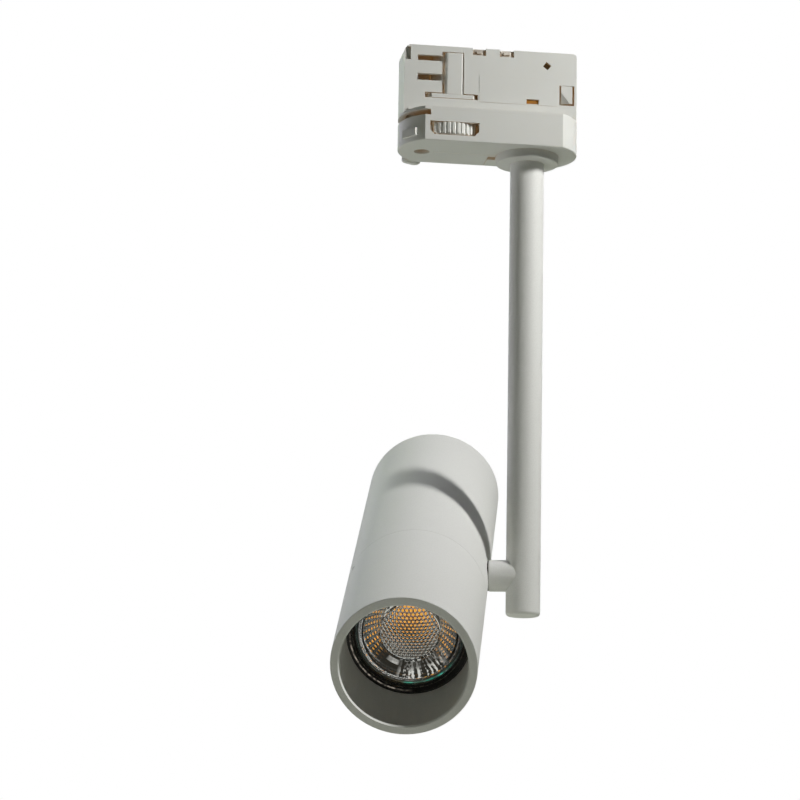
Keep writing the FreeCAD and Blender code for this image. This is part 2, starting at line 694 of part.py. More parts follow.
def earth_strip():
    body = new_body("earth_strip")
    add_box(body, "strip", (-6.0, 8.0), (-6.7, -6.2), (6.0, 9.6))
    add_box(body, "strip_bump", (-1.9, 3.3), (-7.9, -6.5), (6.8, 8.6))
    return body


TERMINALS = (-18.0, -10.0, 4.0)


def contact_block():
    """Insulating block that carries the terminals above the stem."""
    body = new_body("contact_block")
    add_box(body, "block", (-24.0, 12.8), (-6.0, 6.0), (10.6, 27.0))
    for i, x in enumerate(TERMINALS):
        cut_cylinder(body, "terminal_hole_%d" % i, 2.1, (x, -7.0, 20.0), 5.0, ALONG_Y)
    for i, x in enumerate((-2.1, 0.0, 2.1)):
        cut_cylinder(body, "wire_hole_%d" % i, 0.9, (x, 0, 10.0), 6.0)
    return body


def terminal_screws():
    members = []
    for i, x in enumerate(TERMINALS):
        screw = new_body("terminal_screw_%d" % i, keep=False)
        add_cylinder(screw, "screw_%d" % i, 2.05, (x, -5.8, 20.0), 3.8, ALONG_Y)
        cut_box(screw, "screw_slot_%d" % i, (x - 3.0, x + 3.0), (-6.0, -5.0), (19.7, 20.3))
        members.append(screw)
    group("terminal_screws", members)


def adapter_leads():
    members = []
    for i, x in enumerate((-2.1, 0.0, 2.1)):
        lead = new_body("adapter_lead_%d" % i, keep=False)
        add_cylinder(lead, "lead_%d" % i, 0.9, (x, 0, -5.0), 21.0)
        members.append(lead)
    group("adapter_leads", members)


# ---------------------------------------------------------------- stem

def flange_low():
    return -(d.base_height + d.flange_thick)


def swivel_flange():
    """Fixed disc under the adapter that the stem turns in."""
    body = new_body("swivel_flange")
    low = flange_low()
    ring(body, "flange", d.nipple_radius + d.running_gap, d.flange_radius, low, -d.base_height)
    soften(body, "Fillet", on_circle(d.flange_radius, low), 0.5)
    cut_cylinder(body, "stem_socket", d.stem_radius + d.running_gap, (0, 0, low - 1), d.stem_entry + 1)
    return body


def friction_washer():
    floor = -(d.base_height - d.base_wall)
    body = new_body("friction_washer")
    ring(body, "washer", d.nipple_radius + 0.3, 8.4, floor, floor + 0.5)
    return body


def stop_washer():
    """Keyed washer whose lug meets the post on the housing floor at each end of the pan."""
    floor = -(d.base_height - d.base_wall)
    body = new_body("stop_washer", at(turn=180.0 - d.pan_angle.value))
    ring(body, "stop_ring", d.nipple_radius, 8.0, floor + 0.55, floor + 1.5)
    add_box(body, "stop_lug", (7.0, 10.6), (-0.45, 0.45), (floor + 0.55, floor + 1.5))
    return body


def swivel_nut():
    floor = -(d.base_height - d.base_wall)
    body = new_body("swivel_nut", at(turn=180.0 - d.pan_angle.value))
    sketch = new_sketch(body, "nut_outline", offset=floor + 1.5)
    hexagon(sketch, 13.0)
    circle(sketch, d.nipple_radius)
    pad(body, sketch, 4.0)
    return body


def stem_nipple():
    """Hollow threaded nipple; its wide lower half is fixed in the stem tube."""
    top = flange_low() + d.stem_entry
    inner = d.stem_radius - d.stem_wall
    body = new_body("stem_nipple")
    revolve(body, "nipple", [
        (d.nipple_bore, top - 14.0), (inner, top - 14.0), (inner, top), (d.nipple_radius, top),
        (d.nipple_radius, -6.6), (d.nipple_radius - 0.6, -6.0), (d.nipple_bore, -6.0)])
    return body


def stem_tube():
    low = flange_low() - d.stem_drop
    body = new_body("stem_tube")
    ring(body, "tube", d.stem_radius - d.stem_wall, d.stem_radius, low + d.cap_thick,
         flange_low() + d.stem_entry)
    way = stub_direction()
    turn = FreeCAD.Rotation(vec(0, 0, 1), way)
    cut_cylinder(body, "stub_way", 3.4, (0, 0, -d.stub_drop), 20.0, turn)
    return body


def stem_end_cap():
    low = flange_low() - d.stem_drop
    body = new_body("stem_end_cap")
    revolve(body, "end_cap", [
        (0, low), (d.stem_radius, low), (d.stem_radius, low + d.cap_thick),
        (d.stem_radius - d.stem_wall, low + d.cap_thick), (d.stem_radius - d.stem_wall, low + 7.0),
        (0, low + 7.0)])
    soften(body, "Fillet", on_circle(d.stem_radius, low), d.cap_thick - 0.2)
    return body


def stub_length():
    return d.head_offset - d.spotface - 0.6


def pivot_stub():
    """Side stub, coped to the stem and bored for the tilt bolt."""
    body = new_body("pivot_stub", stub_place())
    sketch = new_sketch(body, "stub")
    circle(sketch, d.stub_radius)
    pad(body, sketch, stub_length())
    soften(body, "Chamfer", on_circle(d.stub_radius, stub_length()), 0.4)
    cut_cylinder(body, "cope", d.stem_radius, (-20.0, 0, 0), 40.0, ALONG_X)
    cut_cylinder(body, "stub_bore", 3.0, (0, 0, 0), 20.0)
    cut_cylinder(body, "bolt_bore", d.bolt_radius, (0, 0, 9.0), 20.0)
    return body


def pivot_bolt():
    """Hollow bolt fixed in the stub; the head turns on it."""
    body = new_body("pivot_bolt", stub_place())
    ring(body, "bolt", d.bolt_bore, d.bolt_radius, 9.0, d.head_offset - 19.2)
    return body


def stub_ring(name, outer, low, high):
    body = new_body(name, stub_place())
    ring(body, name + "_ring", d.bolt_radius, outer, low, high)
    return body


def pivot_nut():
    body = new_body("pivot_nut", stub_place())
    sketch = new_sketch(body, "pivot_nut_outline", offset=d.head_offset - 24.0)
    hexagon(sketch, 12.0)
    circle(sketch, d.bolt_radius)
    pad(body, sketch, 4.0)
    return body


def swept_cable(name, place, radius, corners, bend):
    """Round cable along a path in the frame's xz plane with rounded bends."""
    body = new_body(name, place)
    path = new_sketch(body, name + "_path", "XZ_Plane")
    points = [vec(size(x).value, size(y).value, 0) for x, y in corners]
    previous = points[0]
    for i in range(1, len(points) - 1):
        back = (points[i - 1] - points[i]).normalize()
        ahead = (points[i + 1] - points[i]).normalize()
        enter = points[i] + back * bend
        leave = points[i] + ahead * bend
        middle = points[i] + (back + ahead) * bend * (1.0 - math.sqrt(0.5))
        path.addGeometry(Part.LineSegment(previous, enter))
        path.addGeometry(Part.Arc(enter, middle, leave))
        previous = leave
    path.addGeometry(Part.LineSegment(previous, points[-1]))
    for i in range(path.GeometryCount):
        path.addConstraint(Sketcher.Constraint("Block", i))
    start = points[0]
    along = (points[1] - points[0]).normalize()
    role = "XY_Plane" if abs(along.y) > 0.5 else "YZ_Plane"
    section = new_sketch(body, name + "_section", role, start.y if role == "XY_Plane" else start.x)
    if role == "XY_Plane":
        circle(section, radius, start.x, 0.0)
    else:
        circle(section, radius, 0.0, start.y)
    pipe = body.newObject("PartDesign::AdditivePipe", name + "_pipe")
    pipe.Profile = section
    pipe.Spine = (path, [])
    return body


def stem_cable():
    turn = FreeCAD.Placement(vec(0, 0, 0), FreeCAD.Rotation(vec(0, 0, 1), 180.0 - d.pan_angle.value))
    return swept_cable("stem_cable", turn, d.cable_radius,
                       [(0.0, -5.9), (0.0, -d.stub_drop), (d.head_offset - 24.0, -d.stub_drop)], 4.5)


# ---------------------------------------------------------------- head

def head_body():
    """Rear body: tube with the tilt boss, bracket lugs and the spigot for the front tube."""
    body = new_body("head_body", head_place())
    outer, inner = d.head_radius, d.head_radius - d.head_wall
    revolve(body, "rear_tube", [
        (inner, -d.head_back), (outer, -d.head_back), (outer, d.seam - d.seam_bevel),
        (outer - d.seam_bevel, d.seam), (d.spigot_radius - 0.05, d.seam),
        (d.spigot_radius - 0.05, d.seam + d.spigot_length), (26.4, d.seam + d.spigot_length),
        (26.4, d.seam - 4.0), (inner, d.seam - 4.0)])
    soften(body, "Fillet", on_circle(outer, -d.head_back), 0.8)
    add_cylinder(body, "tilt_boss", 9.5, (d.boss_face, 0, 0), 3.2, ALONG_X)
    for side, name in ((-1, "low"), (1, "high")):
        low, high = sorted((18.5 * side, 27.8 * side))
        lug_top = -d.holder_low - d.plate_thick
        add_box(body, "bracket_lug_" + name, (-4.5, 4.5), (low, high), (-26.0, lug_top))
        cut_cylinder(body, "lug_hole_" + name, 1.5, (0, 22.0 * side, -24.0), 14.0)
    cut_cylinder(body, "spotface", 8.0, (d.spotface, 0, 0), 5.0, ALONG_X)
    cut_cylinder(body, "tilt_bore", d.bolt_radius + d.running_gap, (d.boss_face - 2, 0, 0), 10.0, ALONG_X)
    return body


def screw_turn():
    """Turns a feature's axis outwards through the set screw."""
    angle = math.radians(d.screw_angle.value)
    return FreeCAD.Rotation(vec(0, 0, 1), vec(math.cos(angle), math.sin(angle), 0))


def screw_point(radius):
    """Point on the set screw's axis at a radius from the head's axis."""
    angle = math.radians(d.screw_angle.value)
    return (radius * math.cos(angle), radius * math.sin(angle), d.seam + d.screw_rise)


def front_tube():
    """Front tube: baffle bore, shoulder for the retaining ring, socket for the spigot."""
    body = new_body("front_tube", head_place())
    outer = d.head_radius
    shoulder = d.head_front - d.baffle_depth
    step = d.seam + d.spigot_length + 0.5
    revolve(body, "snoot", [
        (d.spigot_radius, d.seam + 0.05), (outer - d.seam_bevel, d.seam + 0.05),
        (outer, d.seam + 0.05 + d.seam_bevel), (outer, d.head_front),
        (d.bore_radius + 0.6, d.head_front), (d.bore_radius, d.head_front - 0.6),
        (d.bore_radius, shoulder), (d.ring_radius + 0.05, shoulder), (d.ring_radius + 0.05, step),
        (d.spigot_radius, step)])
    soften(body, "Fillet", on_circle(outer, d.head_front), 0.35)
    cut_cylinder(body, "set_screw_hole", 1.2, screw_point(20.0), 15.0, screw_turn())
    return body


def tube_set_screw():
    """Grub screw that locks the front tube on the spigot."""
    body = new_body("tube_set_screw", head_place())
    near = 28.05
    length = 1.3
    add_cylinder(body, "grub", 1.2, screw_point(near), length, screw_turn())
    cut_cylinder(body, "grub_socket", 0.6, screw_point(near + length - 0.7), 2.0, screw_turn())
    return body


def rear_cap():
    """Inset end plate with a ring of vent holes."""
    body = new_body("rear_cap", head_place())
    low = -d.head_back + 1.2
    inner = d.head_radius - d.head_wall
    revolve(body, "cap", [(0, low), (inner, low), (inner, low + 8.0), (inner - 1.5, low + 8.0),
                          (inner - 1.5, low + 2.0), (0, low + 2.0)])
    vent = cut_cylinder(body, "vent", 1.6, (17.0, 0, low - 1), 4.0)
    polar(body, vent, 12)
    return body


def lamp_ring():
    """Black ring held between the front tube's shoulder and the lamp's rim."""
    body = new_body("lamp_ring", head_place())
    front = d.head_front - d.baffle_depth
    face = front - d.ring_recess
    revolve(body, "retainer", [
        (d.ring_opening, front - 1.4), (d.ring_opening + 0.9, face), (d.bore_radius - 0.55, face),
        (d.bore_radius - 0.05, front), (d.ring_radius, front),
        (d.ring_radius, front - d.ring_thick), (d.lamp_radius + 0.15, front - d.ring_thick),
        (d.lamp_radius + 0.15, front - 1.9), (d.ring_opening, front - 1.9)])
    return body


def lamp_front():
    """Height of the lamp's front edge, just behind the retaining ring's lip."""
    return d.head_front - d.baffle_depth - 2.0


def lamp_body():
    """Reflector lamp shell with its neck and base."""
    body = new_body("lamp_body", head_place())
    front = lamp_front()
    revolve(body, "shell", [
        (0, 17.1), (11.0, 17.1), (11.0, 22.0), (13.0, 24.0), (14.0, 33.0), (20.0, 45.0),
        (24.0, front - 8.0), (d.lamp_radius, front - 6.0), (d.lamp_radius, front),
        (d.lens_radius, front), (d.lens_radius, front - 8.0), (12.5, front - 22.0),
        (12.5, front - 24.0), (0, front - 24.0)])
    for i, side in enumerate((-1, 1)):
        cut_cylinder(body, "pin_hole_%d" % i, 1.55, (d.pin_pitch / 2 * side, 0, 16.0), 5.0)
    return body


def lamp_lens():
    """Clear front optic: flat rim, sunk ring, domed centre in a well, tapered sides behind."""
    body = new_body("lamp_lens", head_place())
    front = lamp_front()
    dome_edge = front - 4.6
    cavity = 6.6
    revolve(body, "optic", [
        (0, front - 1.4), (5.6, front - 2.1), (9.3, front - 3.4), (d.dome_radius, dome_edge),
        (d.dome_radius + 0.3, dome_edge), (d.dome_radius + 1.0, front - 0.9),
        (d.dome_radius + 1.8, front - 0.9), (d.dome_radius + 1.8, front - 1.2),
        (d.lens_radius - 3.1, front - 1.2), (d.lens_radius - 2.5, front), (d.lens_radius, front),
        (d.lens_radius, front - 7.0), (16.5, front - 13.0), (8.0, front - 20.5), (cavity, front - 20.5),
        (cavity - 0.4, front - 13.0), (0, front - 12.0)])
    return body


def led_board():
    """Light source behind the optic."""
    body = new_body("led_board", head_place())
    back = lamp_front() - 24.0
    revolve(body, "board", [(0, back), (11.5, back), (11.5, back + 1.6), (6.0, back + 1.6),
                            (6.0, back + 2.4), (0, back + 2.4)])
    return body


def lamp_pins():
    members = []
    for i, side in enumerate((-1, 1)):
        place = head_place() * at(d.pin_pitch.value / 2 * side)
        pin = new_body("lamp_pin_%d" % i, place, keep=False)
        revolve(pin, "pin_%d" % i,
                [(0, 9.6), (2.4, 9.6), (2.4, 13.4), (1.55, 13.9), (1.55, 20.9), (0, 20.9)])
        members.append(pin)
    group("lamp_pins", members)


def arc_slot(sketch, radius, half, start, end):
    """Slot with round ends that follows a circle about the frame's z axis."""
    first, last = math.radians(start), math.radians(end)
    up = vec(0, 0, 1)
    centre_a = vec(radius * math.cos(first), radius * math.sin(first), 0)
    centre_b = vec(radius * math.cos(last), radius * math.sin(last), 0)
    outer = Part.Circle(vec(0, 0, 0), up, radius + half)
    inner = Part.Circle(vec(0, 0, 0), up, radius - half)
    base = sketch.GeometryCount
    sketch.addGeometry(Part.ArcOfCircle(outer, first, last))
    sketch.addGeometry(Part.ArcOfCircle(Part.Circle(centre_b, up, half), last, last + math.pi))
    sketch.addGeometry(Part.ArcOfCircle(inner, first, last))
    sketch.addGeometry(Part.ArcOfCircle(Part.Circle(centre_a, up, half), first - math.pi, first))
    for i in range(4):
        sketch.addConstraint(Sketcher.Constraint("Block", base + i))


def lamp_holder():
    """Ceramic holder body with the two arc-shaped pin wells."""
    body = new_body("lamp_holder", head_place())
    sketch = new_sketch(body, "holder", offset=-d.holder_low)
    circle(sketch, d.holder_radius)
    pad(body, sketch, d.holder_low + d.holder_split)
    radius = d.pin_pitch.value / 2
    for i, start in enumerate((0.0, 180.0)):
        well = new_sketch(body, "pin_well_%d" % i, offset=d.holder_split)
        arc_slot(well, radius, 2.7, start, start + d.twist.value)
        pocket(body, well, 8.0)
    for i, side in enumerate((-1, 1)):
        cut_cylinder(body, "fixing_hole_%d" % i, 1.5, (0, 9.0 * side, -d.holder_low - 1), 8.0)
    return body


def holder_face():
    """Face plate whose keyholes hold the pin heads after the twist."""
    body = new_body("holder_face", head_place())
    sketch = new_sketch(body, "face", offset=d.holder_split)
    circle(sketch, d.holder_radius)
    pad(body, sketch, d.holder_top - d.holder_split)
    radius = d.pin_pitch.value / 2
    for i, start in enumerate((0.0, 180.0)):
        slot = new_sketch(body, "key_slot_%d" % i, offset=d.holder_top)
        arc_slot(slot, radius, 1.75, start, start + d.twist.value)
        pocket(body, slot, 5.0)
        entry = math.radians(start + d.twist.value)
        cut_cylinder(body, "key_entry_%d" % i, 2.6,
                     (radius * math.cos(entry), radius * math.sin(entry), d.holder_split - 1), 5.0)
    return body


def holder_contacts():
    members = []
    low = d.holder_split - 8.0
    for i, side in enumerate((-1, 1)):
        plate = new_body("well_contact_%d" % i, head_place(), keep=False)
        add_cylinder(plate, "contact_%d" % i, 2.2, (d.pin_pitch / 2 * side, 0, low), 2.9)
        members.append(plate)
    group("holder_contacts", members)


def holder_bracket():
    """Sheet bracket across the head that carries the lamp holder."""
    body = new_body("holder_bracket", head_place())
    low = -(d.holder_low + d.plate_thick)
    inner = d.head_radius - d.head_wall
    sketch = new_sketch(body, "bracket", offset=low)
    circle(sketch, inner - 0.3)
    pad(body, sketch, d.plate_thick)
    for side, name in ((-1, "a"), (1, "b")):
        cut_cylinder(body, "lug_screw_" + name, 1.6, (0, 22.0 * side, low - 1), 4.0)
        cut_cylinder(body, "fixing_screw_" + name, 1.6, (0, 9.0 * side, low - 1), 4.0)
    cut_cylinder(body, "lead_way_out", 2.0, (16.0, 0, low - 1), 4.0)
    cut_cylinder(body, "lead_way_in", 2.0, (3.6, 0, low - 1), 4.0)
    cut_cylinder(body, "vent_way", 6.0, (-19.0, 0, low - 1), 4.0)
    return body


def pan_screw(name, x, y, z, length, up):
    """Pan-head screw; up says which way its head points along z."""
    turn = FreeCAD.Rotation() if up else FreeCAD.Rotation(vec(1, 0, 0), 180)
    body = new_body(name, head_place() * FreeCAD.Placement(vec(x, y, z), turn), keep=False)
    revolve(body, name + "_shape", [(0, -length), (1.45, -length), (1.45, 0), (2.8, 0), (2.8, 1.1),
                                    (2.1, 1.8), (0, 1.8)])
    cut_box(body, name + "_slot", (-2.9, 2.9), (-0.35, 0.35), (1.0, 2.2))
    return body


def screws():
    plate_top = -d.holder_low.value
    plate_low = plate_top - d.plate_thick.value
    group("bracket_screws", [pan_screw("bracket_screw_%d" % i, 0, 22.0 * side, plate_top, 9.0, True)
                             for i, side in enumerate((-1, 1))])
    group("holder_screws", [pan_screw("holder_screw_%d" % i, 0, 9.0 * side, plate_low, 7.0, False)
                            for i, side in enumerate((-1, 1))])


def head_leads():
    """Sleeved leads from the tilt bolt round to the back of the lamp holder."""
    rear = -(d.holder_low + 9.0)
    return swept_cable("head_leads", head_place(), d.lead_radius,
                       [(20.5, 0.0), (16.0, 0.0), (16.0, rear), (3.6, rear), (3.6, -d.holder_low)], 2.2)


# ---------------------------------------------------------------- build

def check_parts():
    """Every object computed, every shape present and valid."""
    for thing in doc.Objects:
        if "Invalid" in thing.State or "Error" in thing.State:
            raise RuntimeError("%s did not compute: %s" % (thing.Name, thing.State))
    for body in exported:
        if body.Shape.isNull() or not body.Shape.isValid():
            raise RuntimeError("%s has no valid shape" % body.Label)


def export_parts():
    os.makedirs("parts", exist_ok=True)
    for body in exported:
        body.Shape.exportStep("parts/%s.step" % body.Label)
        print("%-22s solids %d  volume %.1f" % (body.Label, len(body.Shape.Solids), body.Shape.Volume))


fill_sheet()
adapter_base()
track_insert()
lock_lever()
cam_shaft()
contact_blade("live_contact", d.live_height)
contact_blade("neutral_contact", d.neutral_height)
selector_dial()
selector_spindle()
detent_spring()
earth_contacts()
earth_strip()
contact_block()
terminal_screws()
adapter_leads()
swivel_flange()
friction_washer()
stop_washer()
swivel_nut()
stem_nipple()
stem_tube()
stem_end_cap()
pivot_stub()
pivot_bolt()
stub_ring("pivot_washer", 6.6, stub_length(), stub_length() + 0.58)
stub_ring("pivot_spring_washer", 6.8, d.head_offset - 24.9, d.head_offset - 24.0)
pivot_nut()
stem_cable()
head_body()
front_tube()
tube_set_screw()
rear_cap()
lamp_ring()
lamp_body()
lamp_lens()
led_board()
lamp_pins()
lamp_holder()
holder_face()
holder_contacts()
holder_bracket()
screws()
head_leads()
doc.recompute()
check_parts()
export_parts()
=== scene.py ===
"""Looks of the track spotlight: camera, studio, materials and the lamp's optic."""
import json
import math
import bmesh
import bpy
from mathutils import Matrix, Vector


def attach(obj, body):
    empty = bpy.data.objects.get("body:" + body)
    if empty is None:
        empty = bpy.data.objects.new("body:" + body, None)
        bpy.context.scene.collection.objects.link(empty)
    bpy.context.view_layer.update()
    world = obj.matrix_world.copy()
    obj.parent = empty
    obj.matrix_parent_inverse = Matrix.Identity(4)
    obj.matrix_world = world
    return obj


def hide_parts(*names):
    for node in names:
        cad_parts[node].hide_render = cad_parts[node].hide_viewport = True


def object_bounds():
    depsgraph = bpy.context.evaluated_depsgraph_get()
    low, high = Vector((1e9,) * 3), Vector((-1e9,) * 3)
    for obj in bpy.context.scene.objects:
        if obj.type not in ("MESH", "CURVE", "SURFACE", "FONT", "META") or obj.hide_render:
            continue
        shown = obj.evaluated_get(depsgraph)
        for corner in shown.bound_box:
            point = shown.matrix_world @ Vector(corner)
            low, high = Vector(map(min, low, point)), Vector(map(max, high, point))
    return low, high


MM = 0.001

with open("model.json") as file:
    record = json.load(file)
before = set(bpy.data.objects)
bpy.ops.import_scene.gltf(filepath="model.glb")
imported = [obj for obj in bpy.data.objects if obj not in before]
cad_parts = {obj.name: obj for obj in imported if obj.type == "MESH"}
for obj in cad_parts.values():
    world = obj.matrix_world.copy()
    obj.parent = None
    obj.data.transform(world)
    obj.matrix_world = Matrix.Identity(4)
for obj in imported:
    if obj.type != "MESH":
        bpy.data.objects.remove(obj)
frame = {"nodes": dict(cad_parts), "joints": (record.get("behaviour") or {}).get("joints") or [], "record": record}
cad_low, cad_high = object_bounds()
nodes = frame["nodes"]
joints = {joint["name"]: joint for joint in frame["joints"]}


def head_frame():
    """Head frame: origin on the tilt axis, z out of the front opening, x towards the stem."""
    along = Vector(joints["lamp_twist"]["axis"]).normalized()
    across = -Vector(joints["head_tilt"]["axis"]).normalized()
    made = Matrix((across, along.cross(across), along)).transposed().to_4x4()
    made.translation = Vector(joints["head_tilt"]["pos_m"])
    return made


HEAD = head_frame()


def about_head(name):
    """A CAD node's inner radius, outer radius and front in the head frame, to a hundredth of a mm."""
    into_head = HEAD.inverted()
    points = [into_head @ vertex.co / MM for vertex in nodes[name].data.vertices]
    radii = [math.hypot(point.x, point.y) for point in points]
    front = max(point.z for point in points)
    return round(min(radii), 2), round(max(radii), 2), round(front, 2)


# ---------------------------------------------------------------- camera and studio

def make_camera():
    """Long lens a little below the head, looking up at the fitting."""
    data = bpy.data.cameras.new("camera")
    data.lens = 141.92
    data.sensor_width = 36.0
    data.clip_start = 0.05
    data.clip_end = 50.0
    place = Vector((-0.24782, -1.33195, -0.41212))
    yaw, pitch, roll = 0.14354, 0.20747, 0.01767
    forward = Vector((math.sin(yaw) * math.cos(pitch), math.cos(yaw) * math.cos(pitch), math.sin(pitch)))
    level = Vector((math.cos(yaw), -math.sin(yaw), 0.0))
    upright = level.cross(forward)
    right = level * math.cos(roll) + upright * math.sin(roll)
    up = upright * math.cos(roll) - level * math.sin(roll)
    camera = bpy.data.objects.new("camera", data)
    turn = Matrix((right, up, -forward)).transposed().to_4x4()
    camera.matrix_world = Matrix.Translation(place) @ turn
    bpy.context.scene.collection.objects.link(camera)
    bpy.context.scene.camera = camera


def compass(azimuth, elevation):
    """Unit direction; azimuth 0 is the front (-Y) and grows towards +X."""
    turn, rise = math.radians(azimuth), math.radians(elevation)
    return Vector((math.sin(turn) * math.cos(rise), -math.cos(turn) * math.cos(rise), math.sin(rise)))


# Where the key light stands; the painted glints in the materials answer to it too.
KEY = compass(53.1, 35.0)


def area_light(name, target, direction, distance, size, power, colour):
    """Square light at a distance from a target, facing it."""
    data = bpy.data.lights.new(name, "AREA")
    data.size = size
    data.energy = power
    data.color = colour
    light = bpy.data.objects.new(name, data)
    light.location = target + direction * distance
    light.rotation_mode = "QUATERNION"
    light.rotation_quaternion = direction.to_track_quat("Z", "Y")
    bpy.context.scene.collection.objects.link(light)


def make_world():
    """White to the camera, dim through the optic, a dark room with bright panels to reflections."""
    world = bpy.data.worlds.new("studio")
    bpy.context.scene.world = world
    world.use_nodes = True
    tree = world.node_tree
    tree.nodes.clear()
    path = tree.nodes.new("ShaderNodeLightPath")
    output = tree.nodes.new("ShaderNodeOutputWorld")

    def background(colour, strength):
        made = tree.nodes.new("ShaderNodeBackground")
        made.inputs["Strength"].default_value = strength
        if isinstance(colour, bpy.types.NodeSocket):
            tree.links.new(colour, made.inputs["Color"])
        else:
            made.inputs["Color"].default_value = colour
        return made.outputs["Background"]

    def choose(share, first, second):
        made = tree.nodes.new("ShaderNodeMixShader")
        tree.links.new(share, made.inputs["Fac"])
        tree.links.new(first, made.inputs[1])
        tree.links.new(second, made.inputs[2])
        return made.outputs["Shader"]

    place = tree.nodes.new("ShaderNodeTexCoord").outputs["Generated"]
    panels = tree.nodes.new("ShaderNodeTexVoronoi")
    panels.distance = "CHEBYCHEV"
    panels.inputs["Scale"].default_value = 2.2
    tree.links.new(place, panels.inputs["Vector"])
    ramp = tree.nodes.new("ShaderNodeValToRGB")
    ramp.color_ramp.elements[0].position = 0.16
    ramp.color_ramp.elements[0].color = (1.0, 1.0, 0.97, 1.0)
    ramp.color_ramp.elements[1].position = 0.20
    ramp.color_ramp.elements[1].color = (0.035, 0.036, 0.034, 1.0)
    tree.links.new(panels.outputs["Distance"], ramp.inputs["Fac"])
    dim = background((0.95, 1.0, 1.0, 1.0), 0.03)
    room = background(ramp.outputs["Color"], 1.3)
    white = background((1.0, 1.0, 1.0, 1.0), 1.0)
    seen_through = choose(path.outputs["Is Transmission Ray"], dim, room)
    tree.links.new(choose(path.outputs["Is Camera Ray"], seen_through, white), output.inputs["Surface"])


def make_lights():
    """Hard key off the right shoulder, pale sweep behind and to the left, low fill by the head."""
    middle = (cad_low + cad_high) / 2
    area_light("key", middle, KEY, distance=0.6, size=0.06, power=2.87, colour=(1.0, 1.0, 0.98))
    area_light("head_left", HEAD.translation, compass(-110.0, -10.0),
               distance=0.35, size=0.25, power=0.27, colour=(1.0, 1.02, 1.02))
    for name, azimuth, elevation, power, colour in (
            ("sweep_left", -150.0, 30.0, 3.6, (0.92, 0.95, 1.13)),
            ("sweep_back", 180.0, 30.0, 2.5, (1.03, 1.43, 0.54)),
            ("sweep_top", 180.0, 60.0, 4.2, (0.97, 0.92, 1.11)),
            ("side_left", -120.0, 0.0, 2.3, (0.99, 0.90, 1.11)),
            ("fill_left", -90.0, 30.0, 0.5, (1.0, 1.25, 0.75)),
            ("shoulder", -60.0, 30.0, 0.2, (1.3, 1.1, 0.6))):
        area_light(name, middle, compass(azimuth, elevation),
                   distance=1.6, size=0.8, power=power, colour=colour)


def make_floor():
    """Pale floor well under the fitting, brightened to the camera alone."""
    drop = 0.22
    mesh = bpy.data.meshes.new("floor")
    net = bmesh.new()
    bmesh.ops.create_grid(net, x_segments=2, y_segments=2, size=8.0)
    net.to_mesh(mesh)
    net.free()
    floor = bpy.data.objects.new("floor", mesh)
    floor.location = (0.0, 0.0, cad_low.z - drop)
    bpy.context.scene.collection.objects.link(floor)
    shader = Shader("floor_paper")
    shader.set("Base Color", (0.81, 0.81, 0.73, 1.0))
    shader.set("Roughness", 0.9)
    seen = shader.node("ShaderNodeLightPath").outputs["Is Camera Ray"]
    shader.glow((0.86, 0.86, 0.84, 1.0), shader.product(seen, 0.6))
    mesh.materials.append(shader.material)


# ---------------------------------------------------------------- material helper

